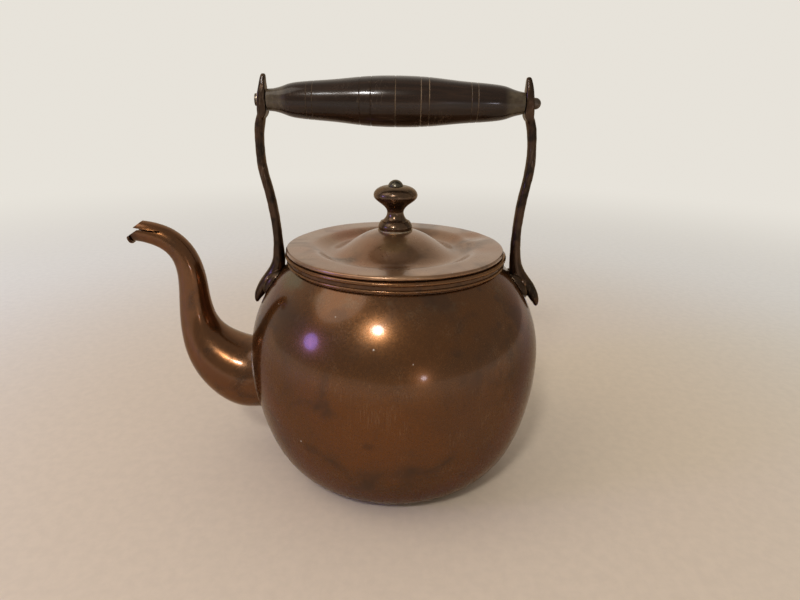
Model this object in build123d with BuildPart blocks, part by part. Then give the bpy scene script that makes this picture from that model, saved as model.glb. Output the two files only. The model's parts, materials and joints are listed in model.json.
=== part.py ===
from build123d import *
import math
import os

os.makedirs("parts", exist_ok=True)

# All sizes are in millimetres. The kettle stands on Z = 0 with its belly's axis on Z.
# The spout points towards -X, and the grip runs along X over the lid.

# Body: flat bottom, then a quarter ellipse up to the belly, then part of a second ellipse
# that closes in to the short upright neck.
belly_radius = 85.0
belly_height = 74.2
base_radius = 51.0
shoulder_rise = 74.3
crown_radius = 2.2
body_wall = 1.0
neck_radius = 60.8
neck_fillet = 1.0

# Neck ring: a large bead over the edge of the neck, a groove and a small bead.
ring_bead_radius = 1.15
ring_bead_stand_out = 2.4
ring_foot_bead = 0.9
ring_foot_stand_out = 1.6
ring_wall = 0.7
ring_height = 6.1
ring_foot_gap = 0.6

# Lid: it sits a little towards the spout, within its play in the neck.
lid_offset = -0.5
lid_overhang = 1.4
lid_sheet = 0.7
lid_seat_gap = 0.3
edge_roll_radius = 1.25
rim_width = 13.7
trough_half_width = 9.0
trough_depth = 3.4
lid_crown_rise = 8.9
lid_crown_radius = 9.5
lid_crown_slope = -0.2
bell_middle_radius = 22.0
bell_middle_rise = 3.6
skirt_play = 1.2
skirt_depth = 9.0
skirt_sheet = 0.7
skirt_flange = 3.0

# Knob with its stud, and the washers above and below the lid.
knob_foot_radius = 9.3
knob_foot_bulge = 9.7
knob_bulge_height = 1.6
knob_foot_top_radius = 8.3
knob_foot_height = 4.4
knob_step_radius = 7.5
knob_step_height = 0.4
knob_flank_slope = -0.5
knob_waist_radius = 4.7
knob_waist_height = 9.8
knob_throat_radius = 9.9
knob_throat_height = 15.8
knob_ball_radius = 12.4
knob_ball_height = 19.3
knob_height = 24.5
stud_radius = 2.2
stud_head_radius = 4.3
stud_head_rise = 3.3
stud_rivet_radius = 3.6
stud_rivet_rise = 1.6
knob_washer_radius = 9.9
knob_washer_sheet = 0.7
backing_washer_radius = 7.0
backing_washer_sheet = 0.8

# Spout: stations down its middle as distance out from the belly, height above the belly's
# widest line and outside radius, from inside the belly to past the mouth, where the beak is
# cut to shape.
spout_wall = 0.9
spout_line = [
    (-11.0, -20.1, 22.8),
    (3.0, -19.7, 22.3),
    (12.9, -16.2, 21.0),
    (21.2, -9.5, 18.65),
    (28.9, 0.4, 14.85),
    (33.5, 13.7, 10.9),
    (34.7, 29.3, 8.75),
    (35.3, 43.3, 7.75),
    (39.4, 55.9, 6.95),
    (48.3, 64.2, 6.6),
    (59.0, 67.7, 6.2),
    (75.0, 67.6, 5.9),
]
solder_width = 0.8
solder_rise = 0.7

# Beak: the upper jaw ends on a slant, the lower jaw reaches further out to a lip with a bead
# round it, and a slit runs back from the corner between them. Heights are above the middle of
# the spout at the mouth.
jaw_top_out = 60.2
jaw_top_rise = 0.1
jaw_slant = 38.0
jaw_corner_drop = 3.0
slit_height = 2.5
slit_width = 0.9
slit_corner_out = 61.9
slit_end_out = 49.0
slit_end_drop = 1.5
lip_out = 67.0
lip_height = -1.3
lip_bead_length = 1.0
lip_stand_out = 0.35
lip_half_angle = 73.0
cut_reach = 20.0

# Handle: two forged uprights, each with an ear for the rod and a foot on the shoulder.
# Bar stations are height as a share of the grip's rise over the ring, distance out from the
# straight line between ring and ear, thickness and width. Foot stations, down the spine and
# the free tail, are drop below the neck's foot, distance out from the shoulder, thickness
# and width.
grip_rise = 81.51
handle_lean = 0.95
lean_start_drop = 3.4
lean_end_drop = 9.9
foot_shift = 0.8
ear_gap = 137.7
ear_tip_thickness = 2.4
ear_thickness = 4.65
ear_root_thickness = 4.9
ear_half_width = 4.95
ear_widest_drop = 1.5
ear_tip_half_width = 2.3
ear_tip_height = 11.4
ear_top = 13.3
ear_foot_half_width = 4.0
ear_bottom = 9.5
ear_heel_drop = 6.6
ear_heel_depth = 1.7
ear_corner_round = 1.0
ear_edge_fillet = 0.8
bar_stations = [
    (0.9583, 2.59, 3.4, 8.4),
    (0.9092, 3.76, 4.8, 8.6),
    (0.8417, 5.54, 5.2, 8.0),
    (0.7681, 6.66, 5.0, 7.3),
    (0.67, 7.41, 5.0, 7.0),
    (0.535, 7.28, 5.1, 7.0),
    (0.4001, 5.79, 5.2, 7.0),
    (0.259, 4.84, 5.3, 7.0),
    (0.124, 4.65, 5.4, 7.2),
    (0.0075, 5.26, 6.0, 7.8),
    (-0.076, 6.18, 7.2, 9.2),
]
foot_stations = [
    (5.69, 3.99, 8.6, 10.2),
    (10.79, 3.47, 8.0, 10.0),
    (15.89, 4.04, 7.0, 8.6),
    (20.69, 4.37, 5.6, 6.8),
    (24.09, 4.19, 3.6, 4.6),
    (26.49, 3.44, 1.4, 2.0),
]
lobe_drop = 12.19
lobe_spread = 6.5
lobe_length = 8.5
lobe_radius = 4.6
lobe_sink = 1.0

# Foot rivets, through the lobes and the shoulder.
rivet_radius = 1.5
rivet_head_radius = 2.2
rivet_head_rise = 0.8
rivet_head_seat = 0.5
rivet_tail_radius = 2.8
rivet_tail_rise = 1.2
rivet_tail_gap = 0.15

# Tie rod: a flat head over a washer at the spout side, a hammered dome at the other.
rod_radius = 1.8
rod_clearance = 0.08
rod_seat_radius = 3.8
rod_seat_thickness = 4.4
rod_head_radius = 3.2
rod_head_thickness = 0.95
rod_washer_radius = 3.6
rod_washer_sheet = 0.6
rod_play = 0.15
rod_dome_radius = 3.0
rod_dome_step = 1.5
rod_dome_rise = 2.8

# Grip: half of its outline as distance from the middle and radius, and the places of the
# scribed rings along it.
grip_end_gap = 0.3
grip_end_round = 0.8
grip_end_radius = 5.7
grip_shift = 0.95
grip_outline = [
    (0.0, 13.15),
    (17.0, 12.55),
    (34.0, 10.85),
    (51.5, 9.45),
    (58.0, 8.3),
    (62.3, 6.8),
    (66.0, 5.9),
]
grip_ring_places = [-46.9, -43.7, -18.9, -13.0, -0.15, 13.15, 17.45, 39.65, 43.15]
grip_ring_width = 0.7

# Where the ellipse of the shoulder meets the neck, and what stands on it.
neck_angle = math.degrees(math.acos((neck_radius - crown_radius) / (belly_radius - crown_radius)))
neck_foot = belly_height + shoulder_rise * math.sin(math.radians(neck_angle))
ring_top = neck_foot + ring_foot_gap + ring_height
ring_bead_reach = neck_radius + ring_bead_stand_out
ring_foot_reach = neck_radius + ring_foot_stand_out
neck_top = ring_top - 2 * ring_bead_radius
lid_top = ring_top + lid_seat_gap + 2 * edge_roll_radius
lid_radius = neck_radius + lid_overhang
trough_radius = lid_radius - rim_width
trough_bottom_radius = trough_radius - trough_half_width
crown_top = lid_top + lid_crown_rise
knob_bottom = crown_top + knob_washer_sheet
knob_top = knob_bottom + knob_height
skirt_radius = neck_radius - body_wall - skirt_play
spout_stations = [(-belly_radius - out, belly_height + rise, radius) for out, rise, radius in spout_line]
mouth_height = spout_stations[-2][1]
jaw_top_x = -belly_radius - jaw_top_out
slit_corner_x = -belly_radius - slit_corner_out
slit_end_x = -belly_radius - slit_end_out
lip_x = -belly_radius - lip_out
grip_height = ring_top + grip_rise
lean_start_height = ring_top - lean_start_drop
lean_end_height = grip_height - lean_end_drop
lobe_height = neck_foot - lobe_drop
lid_middle = Plane(origin=(lid_offset, 0, 0), x_dir=(1, 0, 0), z_dir=(0, -1, 0))
lid_axis = Axis((lid_offset, 0, 0), (0, 0, 1))
grip_middle = Plane(origin=(-handle_lean, 0, grip_height), x_dir=(1, 0, 0), z_dir=(0, -1, 0))
grip_axis = Axis((0, 0, grip_height), (1, 0, 0))


# Height and outward slope of the shoulder's outer surface.
def shoulder_point(height):
    rise = (height - belly_height) / shoulder_rise
    return crown_radius + (belly_radius - crown_radius) * math.sqrt(1 - rise**2)


def shoulder_normal(height):
    out = (shoulder_point(height) - crown_radius) / (belly_radius - crown_radius) ** 2
    up = (height - belly_height) / shoulder_rise**2
    return Vector(out, 0, up).normalized()


# Solid of revolution of the body's outline, drawn in by a wall.
def vessel_solid(inset, top):
    reach = belly_radius - crown_radius - inset
    turn = math.degrees(math.acos((neck_radius - inset - crown_radius) / reach))
    with BuildPart() as vessel:
        with BuildSketch(Plane.XZ) as outline:
            with BuildLine():
                lower = EllipticalCenterArc(
                    (base_radius, belly_height),
                    belly_radius - base_radius - inset,
                    belly_height - inset,
                    start_angle=270,
                    arc_size=90,
                )
                upper = EllipticalCenterArc(
                    (crown_radius, belly_height), reach, shoulder_rise - inset, start_angle=0, arc_size=turn
                )
                Polyline(upper @ 1, (neck_radius - inset, top), (0, top), (0, inset), lower @ 0)
            make_face()
            fillet(outline.vertices().sort_by_distance(upper @ 1)[0], neck_fillet)
        revolve(axis=Axis.Z)
    return vessel.part


# Solid of the spout, grown or shrunk all round.
def spout_solid(growth):
    course = Spline(*[(x, 0, z) for x, z, radius in spout_stations])
    with BuildPart() as horn:
        for x, z, radius in spout_stations:
            with BuildSketch(Plane(origin=(x, 0, z), x_dir=(0, 1, 0), z_dir=course.tangent_at((x, 0, z)))):
                Circle(radius + growth)
        loft()
    return horn.part


vessel_outside = vessel_solid(0, neck_top)
vessel_inside = vessel_solid(body_wall, neck_top + body_wall)
spout_outside = spout_solid(0)
spout_bore = spout_solid(-spout_wall)


# A round cap of a given reach and rise is part of a sphere of this radius and half angle.
def cap_radius(reach, rise):
    return (reach**2 + rise**2) / (2 * rise)


def cap_turn(reach, rise):
    return math.degrees(math.asin(reach / cap_radius(reach, rise)))


# Middle line of an upright as half span, height, thickness and width, from the ear down to
# the free tail.
upright_line = []
for share, out, thickness, width in bar_stations:
    between = ring_bead_reach + (ear_gap / 2 - ring_bead_reach) * share
    upright_line.append((between + out, ring_top + grip_rise * share, thickness, width))
for drop, out, thickness, width in foot_stations:
    height = neck_foot - drop
    upright_line.append((shoulder_point(height) + out, height, thickness, width))


# One rivet on the plane of its lobe: domed head, shank, and a tail inside the shoulder.
lobe_normal = shoulder_normal(lobe_height)
lobe_crown = lobe_radius - lobe_sink


def lobe_plane(side, spread):
    reach = math.sqrt(shoulder_point(lobe_height) ** 2 - spread**2)
    out = Vector(side * lobe_normal.X, 0, lobe_normal.Z)
    down = Vector(side * lobe_normal.Z, 0, -lobe_normal.X)
    return Plane(origin=(side * reach, spread, lobe_height), x_dir=down, z_dir=out)


def rivet_solid(side, spread):
    seat = lobe_plane(side, spread)
    section = Plane(origin=seat.origin, x_dir=seat.x_dir, z_dir=-seat.y_dir)
    head = lobe_crown - rivet_head_seat
    tail = -body_wall - rivet_tail_gap
    head_ball = cap_radius(rivet_head_radius, rivet_head_rise)
    head_turn = cap_turn(rivet_head_radius, rivet_head_rise)
    tail_ball = cap_radius(rivet_tail_radius, rivet_tail_rise)
    tail_turn = cap_turn(rivet_tail_radius, rivet_tail_rise)
    with BuildPart() as rivet:
        with BuildSketch(section):
            with BuildLine():
                head_cap = CenterArc(
                    (0, lobe_crown + rivet_head_rise - head_ball), head_ball, 90, arc_size=-head_turn
                )
                tail_cap = CenterArc(
                    (0, tail - rivet_tail_rise + tail_ball), tail_ball, -90, arc_size=tail_turn
                )
                Polyline(
                    head_cap @ 1,
                    (rivet_head_radius, head),
                    (rivet_radius, head),
                    (rivet_radius, tail),
                    tail_cap @ 1,
                )
                Line(tail_cap @ 0, head_cap @ 0)
            make_face()
        revolve(axis=Axis(seat.origin, seat.z_dir))
    return rivet.part


rivets = {side: [rivet_solid(side, spread) for spread in (-lobe_spread, lobe_spread)] for side in (-1, 1)}

with BuildPart() as body_shell:
    add(vessel_outside)
    add(vessel_inside, mode=Mode.SUBTRACT)
    add(spout_bore, mode=Mode.SUBTRACT)
    for side in (-1, 1):
        add(rivets[side], mode=Mode.SUBTRACT)
body_shell.part.label = "body_shell"
export_step(body_shell.part, "parts/body_shell.step")

with BuildPart() as neck_ring:
    with BuildSketch(Plane.XZ):
        foot = ring_top - ring_height
        with Locations((ring_bead_reach - ring_bead_radius, ring_top - ring_bead_radius)):
            Circle(ring_bead_radius)
        with Locations((ring_foot_reach - ring_foot_bead, foot + ring_foot_bead)):
            Circle(ring_foot_bead)
        with Locations((neck_radius, foot + ring_foot_bead)):
            Rectangle(
                ring_wall, ring_height - ring_foot_bead - ring_bead_radius, align=(Align.MIN, Align.MIN)
            )
        with Locations((neck_radius - body_wall, ring_top)):
            Rectangle(
                ring_bead_reach - ring_bead_radius - neck_radius + body_wall,
                2 * ring_bead_radius,
                align=(Align.MIN, Align.MAX),
            )
        with Locations((neck_radius, neck_top)):
            Rectangle(body_wall, ring_height, align=(Align.MAX, Align.MAX), mode=Mode.SUBTRACT)
    revolve(axis=Axis.Z)
neck_ring.part.label = "neck_ring"
export_step(neck_ring.part, "parts/neck_ring.step")

# The beak's cut is drawn from the side and taken right through.
with BuildPart() as beak_cut:
    with BuildSketch(Plane.XZ):
        jaw_run = jaw_corner_drop / math.tan(math.radians(jaw_slant))
        mouth_top = mouth_height + spout_stations[-2][2]
        slit_middle = mouth_height + slit_height
        past_end = spout_stations[-1][0] - cut_reach
        with BuildLine():
            Polyline(
                (jaw_top_x, mouth_top + cut_reach),
                (jaw_top_x, mouth_top + jaw_top_rise),
                (jaw_top_x - jaw_run, mouth_top + jaw_top_rise - jaw_corner_drop),
                (slit_corner_x, slit_middle + slit_width / 2),
                (slit_end_x, slit_middle + slit_width / 2 - slit_end_drop),
                (slit_end_x, slit_middle - slit_width / 2 - slit_end_drop),
                (slit_corner_x, slit_middle - slit_width / 2),
                (lip_x, mouth_height + lip_height),
                (lip_x, mouth_height - cut_reach),
                (past_end, mouth_height - cut_reach),
                (past_end, mouth_top + cut_reach),
                close=True,
            )
        make_face()
    extrude(amount=cut_reach, both=True)

with BuildPart() as spout_tube:
    add(spout_outside)
    add(spout_bore, mode=Mode.SUBTRACT)
    add(vessel_outside, mode=Mode.SUBTRACT)
    add(beak_cut.part, mode=Mode.SUBTRACT)
spout_tube.part.label = "spout_tube"
export_step(spout_tube.part, "parts/spout_tube.step")

# The lip's bead is a half-round band on the end of the lower jaw.
with BuildPart() as spout_lip:
    mouth_radius = spout_stations[-1][2]
    band_wall = (spout_wall + lip_stand_out) / 2
    lip_middle = Plane(origin=(lip_x, 0, mouth_height), x_dir=(1, 0, 0), z_dir=(0, -1, 0))
    lip_middle = lip_middle.rotated((180 - lip_half_angle, 0, 0))
    with BuildSketch(lip_middle):
        with BuildLine():
            band = EllipticalCenterArc(
                (0, mouth_radius + lip_stand_out - band_wall),
                lip_bead_length,
                band_wall,
                start_angle=90,
                arc_size=180,
            )
            Line(band @ 1, band @ 0)
        make_face()
    revolve(axis=Axis((lip_x, 0, mouth_height), (1, 0, 0)), revolution_arc=2 * lip_half_angle)
spout_lip.part.label = "spout_lip"
export_step(spout_lip.part, "parts/spout_lip.step")

with BuildPart() as spout_solder:
    add(vessel_solid(-solder_rise, neck_top))
    add(spout_solid(solder_width), mode=Mode.INTERSECT)
    add(spout_outside, mode=Mode.SUBTRACT)
    add(vessel_outside, mode=Mode.SUBTRACT)
spout_solder.part.label = "spout_solder"
export_step(spout_solder.part, "parts/spout_solder.step")


# One upright: ear plate, lofted bar running into the foot's spine and tail, and two lobes.
def lean_at(height):
    share = (height - lean_start_height) / (lean_end_height - lean_start_height)
    return foot_shift - (foot_shift + handle_lean) * min(max(share, 0.0), 1.0)


# The left ear, with its inner face at X = 0; the right one is its mirror image.
with BuildPart() as left_ear:
    with BuildSketch(Plane(origin=(0, 0, grip_height), x_dir=(0, 1, 0), z_dir=(1, 0, 0))) as outline:
        with BuildLine():
            for edge in (-1, 1):
                ThreePointArc(
                    (edge * ear_foot_half_width, -ear_bottom),
                    (edge * ear_half_width, -ear_widest_drop),
                    (edge * ear_tip_half_width, ear_tip_height),
                )
            ThreePointArc(
                (-ear_tip_half_width, ear_tip_height), (0, ear_top), (ear_tip_half_width, ear_tip_height)
            )
            Line((ear_foot_half_width, -ear_bottom), (-ear_foot_half_width, -ear_bottom))
        make_face()
        fillet(outline.vertices(), ear_corner_round)
    extrude(amount=-2 * ear_root_thickness)
    with BuildSketch(Plane(origin=(0, 0, grip_height), x_dir=(-1, 0, 0), z_dir=(0, 1, 0))):
        with BuildLine():
            outer = ThreePointArc(
                (ear_root_thickness, -ear_bottom), (ear_thickness, 0), (ear_tip_thickness, ear_top)
            )
            Polyline(
                outer @ 1, (0, ear_top), (0, -ear_heel_drop), (ear_heel_depth, -ear_bottom), outer @ 0
            )
        make_face()
    extrude(amount=2 * ear_half_width, both=True, mode=Mode.INTERSECT)
    ear_sides = left_ear.faces().sort_by(Axis.X)
    fillet(ear_sides[0].edges() + ear_sides[-1].edges(), ear_edge_fillet)
ears = {-1: left_ear.part, 1: mirror(left_ear.part, about=Plane.YZ)}


def upright_solid(side):
    places = [(side * span + lean_at(height), 0, height) for span, height, thickness, width in upright_line]
    course = Spline(*places)
    ear_middle = side * (ear_gap + ear_thickness) / 2 - handle_lean
    seat_face = side * (ear_gap / 2 + rod_seat_thickness) - handle_lean
    with BuildPart() as upright:
        for place, (span, height, thickness, width) in zip(places, upright_line):
            with BuildSketch(Plane(origin=place, x_dir=(0, 1, 0), z_dir=course.tangent_at(place))):
                Ellipse(width / 2, thickness / 2)
        loft()
        add(Pos(side * ear_gap / 2 - handle_lean) * ears[side])
        for spread in (-lobe_spread, lobe_spread):
            seat = lobe_plane(side, spread)
            heart = seat.origin - seat.z_dir * lobe_sink
            with BuildSketch(Plane(origin=heart, x_dir=seat.x_dir, z_dir=-seat.y_dir)):
                with BuildLine():
                    EllipticalCenterArc((0, 0), lobe_length, lobe_radius, start_angle=0, arc_size=180)
                    Line((-lobe_length, 0), (lobe_length, 0))
                make_face()
            revolve(axis=Axis(heart, seat.x_dir))
        add(vessel_outside, mode=Mode.SUBTRACT)
        add(rivets[side], mode=Mode.SUBTRACT)
        with Locations(Plane(origin=(ear_middle, 0, grip_height), z_dir=(1, 0, 0))):
            Cylinder(rod_radius, 2 * ear_thickness, mode=Mode.SUBTRACT)
        with Locations(Plane(origin=(seat_face, 0, grip_height), z_dir=(side, 0, 0))):
            Cylinder(
                rod_seat_radius,
                ear_root_thickness,
                align=(Align.CENTER, Align.CENTER, Align.MIN),
                mode=Mode.SUBTRACT,
            )
    return upright.part


for side, name in ((-1, "left"), (1, "right")):
    with BuildPart() as upright:
        add(upright_solid(side))
    upright.part.label = name + "_upright"
    export_step(upright.part, "parts/" + name + "_upright.step")

    with BuildPart() as foot_rivets:
        add(rivets[side])
    foot_rivets.part.label = name + "_foot_rivets"
    export_step(foot_rivets.part, "parts/" + name + "_foot_rivets.step")

rod_seat = ear_gap / 2 + rod_seat_thickness
dome_foot = rod_seat + rod_dome_step
head_face = -rod_seat - rod_washer_sheet - rod_play
dome_ball = cap_radius(rod_dome_radius, rod_dome_rise)
dome_turn = cap_turn(rod_dome_radius, rod_dome_rise)
with BuildPart() as tie_rod:
    with BuildSketch(grip_middle):
        with BuildLine():
            dome = CenterArc((dome_foot + rod_dome_rise - dome_ball, 0), dome_ball, 0, arc_size=dome_turn)
            Polyline(
                dome @ 0,
                (head_face - rod_head_thickness, 0),
                (head_face - rod_head_thickness, rod_head_radius),
                (head_face, rod_head_radius),
                (head_face, rod_radius),
                (rod_seat, rod_radius),
                (rod_seat, rod_dome_radius),
                dome @ 1,
            )
        make_face()
    revolve(axis=grip_axis)
tie_rod.part.label = "tie_rod"
export_step(tie_rod.part, "parts/tie_rod.step")

with BuildPart() as rod_washer:
    with BuildSketch(grip_middle):
        with Locations((-rod_seat, rod_radius)):
            Rectangle(rod_washer_sheet, rod_washer_radius - rod_radius, align=(Align.MAX, Align.MIN))
    revolve(axis=grip_axis)
rod_washer.part.label = "rod_washer"
export_step(rod_washer.part, "parts/rod_washer.step")

with BuildPart() as grip:
    grip_end = ear_gap / 2 - grip_end_gap
    bore_radius = rod_radius + rod_clearance
    with BuildSketch(grip_middle) as grip_section:
        with BuildLine():
            half = grip_outline[1:]
            turned = [(-x, r) for x, r in reversed(half)] + [grip_outline[0]] + half
            side_line = Spline(*[(x + grip_shift, r) for x, r in turned])
            Polyline(
                side_line @ 1,
                (grip_end, grip_end_radius),
                (grip_end, bore_radius),
                (-grip_end, bore_radius),
                (-grip_end, grip_end_radius),
                side_line @ 0,
            )
        make_face()
        for x in (-grip_end, grip_end):
            corner = grip_middle.from_local_coords((x, grip_end_radius))
            fillet(grip_section.vertices().sort_by_distance(corner)[0], grip_end_round)
        for x in grip_ring_places:
            with Locations(side_line.closest_points((x, grip_outline[0][1]))[0]):
                Rectangle(grip_ring_width, grip_ring_width, rotation=45, mode=Mode.SUBTRACT)
    revolve(axis=grip_axis)
grip.part.label = "grip"
export_step(grip.part, "parts/grip.step")

# The lid's upper line, from the flat crown down the bell, through the trough to the flat rim.
def lid_line(drop):
    return Spline(
        (lid_crown_radius, crown_top - drop),
        (bell_middle_radius, lid_top + bell_middle_rise - drop),
        (trough_bottom_radius, lid_top - trough_depth - drop),
        (trough_radius, lid_top - drop),
        tangents=[(1, lid_crown_slope), (1, 0)],
    )


roll_middle = (lid_radius - edge_roll_radius, lid_top - edge_roll_radius)
with BuildPart() as lid_cover:
    with BuildSketch(lid_middle):
        with BuildLine():
            upper = lid_line(0)
            lower = lid_line(lid_sheet)
            Line(upper @ 1, (roll_middle[0], lid_top))
            Line((roll_middle[0], lid_top), (roll_middle[0], lid_top - lid_sheet))
            Line((roll_middle[0], lid_top - lid_sheet), lower @ 1)
            Line(upper @ 0, (stud_radius, crown_top))
            Line((stud_radius, crown_top), (stud_radius, crown_top - lid_sheet))
            Line((stud_radius, crown_top - lid_sheet), lower @ 0)
        make_face()
        with Locations(roll_middle):
            Circle(edge_roll_radius)
            Circle(edge_roll_radius - lid_sheet, mode=Mode.SUBTRACT)
    revolve(axis=lid_axis)
lid_cover.part.label = "lid_cover"
export_step(lid_cover.part, "parts/lid_cover.step")

with BuildPart() as lid_edge_wire:
    with BuildSketch(lid_middle):
        with Locations(roll_middle):
            Circle(edge_roll_radius - lid_sheet)
    revolve(axis=lid_axis)
lid_edge_wire.part.label = "lid_edge_wire"
export_step(lid_edge_wire.part, "parts/lid_edge_wire.step")

with BuildPart() as lid_skirt:
    skirt_top = lid_top - lid_sheet
    skirt_foot = ring_top - skirt_depth
    with BuildSketch(lid_middle):
        with Locations((skirt_radius, skirt_top)):
            Rectangle(skirt_sheet, skirt_top - skirt_foot, align=(Align.MAX, Align.MAX))
            Rectangle(skirt_flange, skirt_sheet, align=(Align.MAX, Align.MAX))
    revolve(axis=lid_axis)
lid_skirt.part.label = "lid_skirt"
export_step(lid_skirt.part, "parts/lid_skirt.step")

with BuildPart() as knob:
    with BuildSketch(lid_middle):
        foot_top = knob_bottom + knob_foot_height
        ball_middle = knob_bottom + knob_ball_height
        with BuildLine():
            ThreePointArc(
                (knob_foot_radius, knob_bottom),
                (knob_foot_bulge, knob_bottom + knob_bulge_height),
                (knob_foot_top_radius, foot_top),
            )
            Line((knob_foot_top_radius, foot_top), (knob_step_radius, foot_top))
            flank = Spline(
                (knob_step_radius, foot_top + knob_step_height),
                (knob_waist_radius, knob_bottom + knob_waist_height),
                (knob_throat_radius, knob_bottom + knob_throat_height),
                (knob_ball_radius, ball_middle),
                tangents=[(-1, -knob_flank_slope), (0, 1)],
            )
            Line((knob_step_radius, foot_top), flank @ 0)
            cap = EllipticalCenterArc(
                (stud_head_radius, ball_middle),
                knob_ball_radius - stud_head_radius,
                knob_top - ball_middle,
                start_angle=0,
                arc_size=90,
            )
            Polyline(
                cap @ 1,
                (stud_radius, knob_top),
                (stud_radius, knob_bottom),
                (knob_foot_radius, knob_bottom),
            )
        make_face()
    revolve(axis=lid_axis)
knob.part.label = "knob"
export_step(knob.part, "parts/knob.step")

with BuildPart() as knob_stud:
    rivet_face = crown_top - lid_sheet - backing_washer_sheet
    head_ball = cap_radius(stud_head_radius, stud_head_rise)
    head_turn = cap_turn(stud_head_radius, stud_head_rise)
    tail_ball = cap_radius(stud_rivet_radius, stud_rivet_rise)
    tail_turn = cap_turn(stud_rivet_radius, stud_rivet_rise)
    with BuildSketch(lid_middle):
        with BuildLine():
            head = CenterArc((0, knob_top + stud_head_rise - head_ball), head_ball, 90, arc_size=-head_turn)
            tail = CenterArc(
                (0, rivet_face - stud_rivet_rise + tail_ball), tail_ball, -90, arc_size=tail_turn
            )
            Polyline(head @ 1, (stud_radius, knob_top), (stud_radius, rivet_face), tail @ 1)
            Line(tail @ 0, head @ 0)
        make_face()
    revolve(axis=lid_axis)
knob_stud.part.label = "knob_stud"
export_step(knob_stud.part, "parts/knob_stud.step")

with BuildPart() as knob_washer:
    with BuildSketch(lid_middle):
        with Locations((stud_radius, crown_top)):
            Rectangle(knob_washer_radius - stud_radius, knob_washer_sheet, align=(Align.MIN, Align.MIN))
    revolve(axis=lid_axis)
knob_washer.part.label = "knob_washer"
export_step(knob_washer.part, "parts/knob_washer.step")

with BuildPart() as backing_washer:
    with BuildSketch(lid_middle):
        with Locations((stud_radius, crown_top - lid_sheet)):
            Rectangle(
                backing_washer_radius - stud_radius, backing_washer_sheet, align=(Align.MIN, Align.MAX)
            )
    revolve(axis=lid_axis)
backing_washer.part.label = "backing_washer"
export_step(backing_washer.part, "parts/backing_washer.step")
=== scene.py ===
import json
import math
from functools import partial

import bmesh
import bpy
import numpy as np
from mathutils import Matrix, Vector, noise

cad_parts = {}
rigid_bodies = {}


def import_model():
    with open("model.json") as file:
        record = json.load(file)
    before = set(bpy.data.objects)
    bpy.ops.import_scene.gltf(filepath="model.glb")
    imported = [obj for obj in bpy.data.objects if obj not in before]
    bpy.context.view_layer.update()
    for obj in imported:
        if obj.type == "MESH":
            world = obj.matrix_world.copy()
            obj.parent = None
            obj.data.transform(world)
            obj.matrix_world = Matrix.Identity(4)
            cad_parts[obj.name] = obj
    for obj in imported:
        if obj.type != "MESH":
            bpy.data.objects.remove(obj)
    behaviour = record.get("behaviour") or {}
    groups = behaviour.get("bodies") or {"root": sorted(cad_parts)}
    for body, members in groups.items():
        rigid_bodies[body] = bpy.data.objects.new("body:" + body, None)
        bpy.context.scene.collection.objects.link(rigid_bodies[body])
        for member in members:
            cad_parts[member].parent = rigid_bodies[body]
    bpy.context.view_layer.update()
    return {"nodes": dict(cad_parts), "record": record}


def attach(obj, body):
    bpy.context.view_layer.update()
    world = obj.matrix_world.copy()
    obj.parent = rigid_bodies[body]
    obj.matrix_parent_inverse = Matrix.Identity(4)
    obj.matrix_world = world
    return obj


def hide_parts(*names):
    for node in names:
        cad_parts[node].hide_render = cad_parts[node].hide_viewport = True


for stray in list(bpy.data.objects):  # whatever the start file holds
    bpy.data.objects.remove(stray)
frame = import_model()
cadNodes = frame["nodes"]
bodyOf = {node: body for body, members in frame["record"]["behaviour"]["bodies"].items() for node in members}
slotOf = {part["node"]: part["material_slot"] for part in frame["record"]["subparts"]}
mm = 0.001  # outlines below are in millimetres
print("kettle: frame loaded with", len(cadNodes), "nodes")


# Camera and light.

photoView = {"place": (0.002853, -0.33746, 0.22358), "down": 19.761, "roll": 0.835, "lens": 27.0}
roomLight = {
    "backdrop": (0.80, 0.765, 0.70),  # what the camera and the metal see
    "fill": (1.0, 0.97, 0.93),
    "fillLevel": 0.55,
    "mirror": ((-0.3, 0.95, 0.1), 0.25, 0.85, 0.45, 1.0),  # the room in the metal: bright side, edges, levels
    "floorNear": (0.66, 0.53, 0.39),
    "floorFar": (0.80, 0.765, 0.70),
    "floorFade": (0.16, 0.62),
    "floorEnd": (0.32, 1.2),  # past this the floor runs into the backdrop
    "floorRoughness": 0.65,
}
lamps = {  # place, size, watts, colour
    "window": ((-0.31, -1.10, 1.16), 0.20, 8.0, (0.95, 0.97, 1.0)),
    "softbox": ((-1.1, -0.3, 1.6), 1.2, 6.0, (1.0, 0.96, 0.90)),
    "blueDoor": ((-1.295, -0.519, 0.534), 0.34, 4.0, (0.24, 0.22, 1.0)),
    "paleLamp": ((0.686, -1.748, 0.198), 0.10, 0.9, (0.86, 0.84, 1.0)),
}
lampTarget = Vector((0, 0, 0.09))


def setCamera(look):
    camera = bpy.data.objects.new("photoCamera", bpy.data.cameras.new("photoCamera"))
    bpy.context.scene.collection.objects.link(camera)
    camera.data.lens = look["lens"]
    camera.data.sensor_width = 36
    camera.data.clip_start = 0.01
    tilt = Matrix.Rotation(math.radians(90 - look["down"]), 4, "X")
    roll = Matrix.Rotation(math.radians(look["roll"]), 4, "Z")
    camera.matrix_world = Matrix.Translation(look["place"]) @ (tilt @ roll)
    bpy.context.scene.camera = camera


def setLamps(look):
    for name, (place, size, watts, colour) in look.items():
        light = bpy.data.lights.new(name, "AREA")
        light.shape = "DISK"
        light.size = size
        light.energy = watts
        light.color = colour
        lamp = bpy.data.objects.new(name, light)
        bpy.context.scene.collection.objects.link(lamp)
        lamp.location = place
        lamp.rotation_euler = (lampTarget - Vector(place)).to_track_quat("-Z", "Y").to_euler()


# Node helpers.


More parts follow.
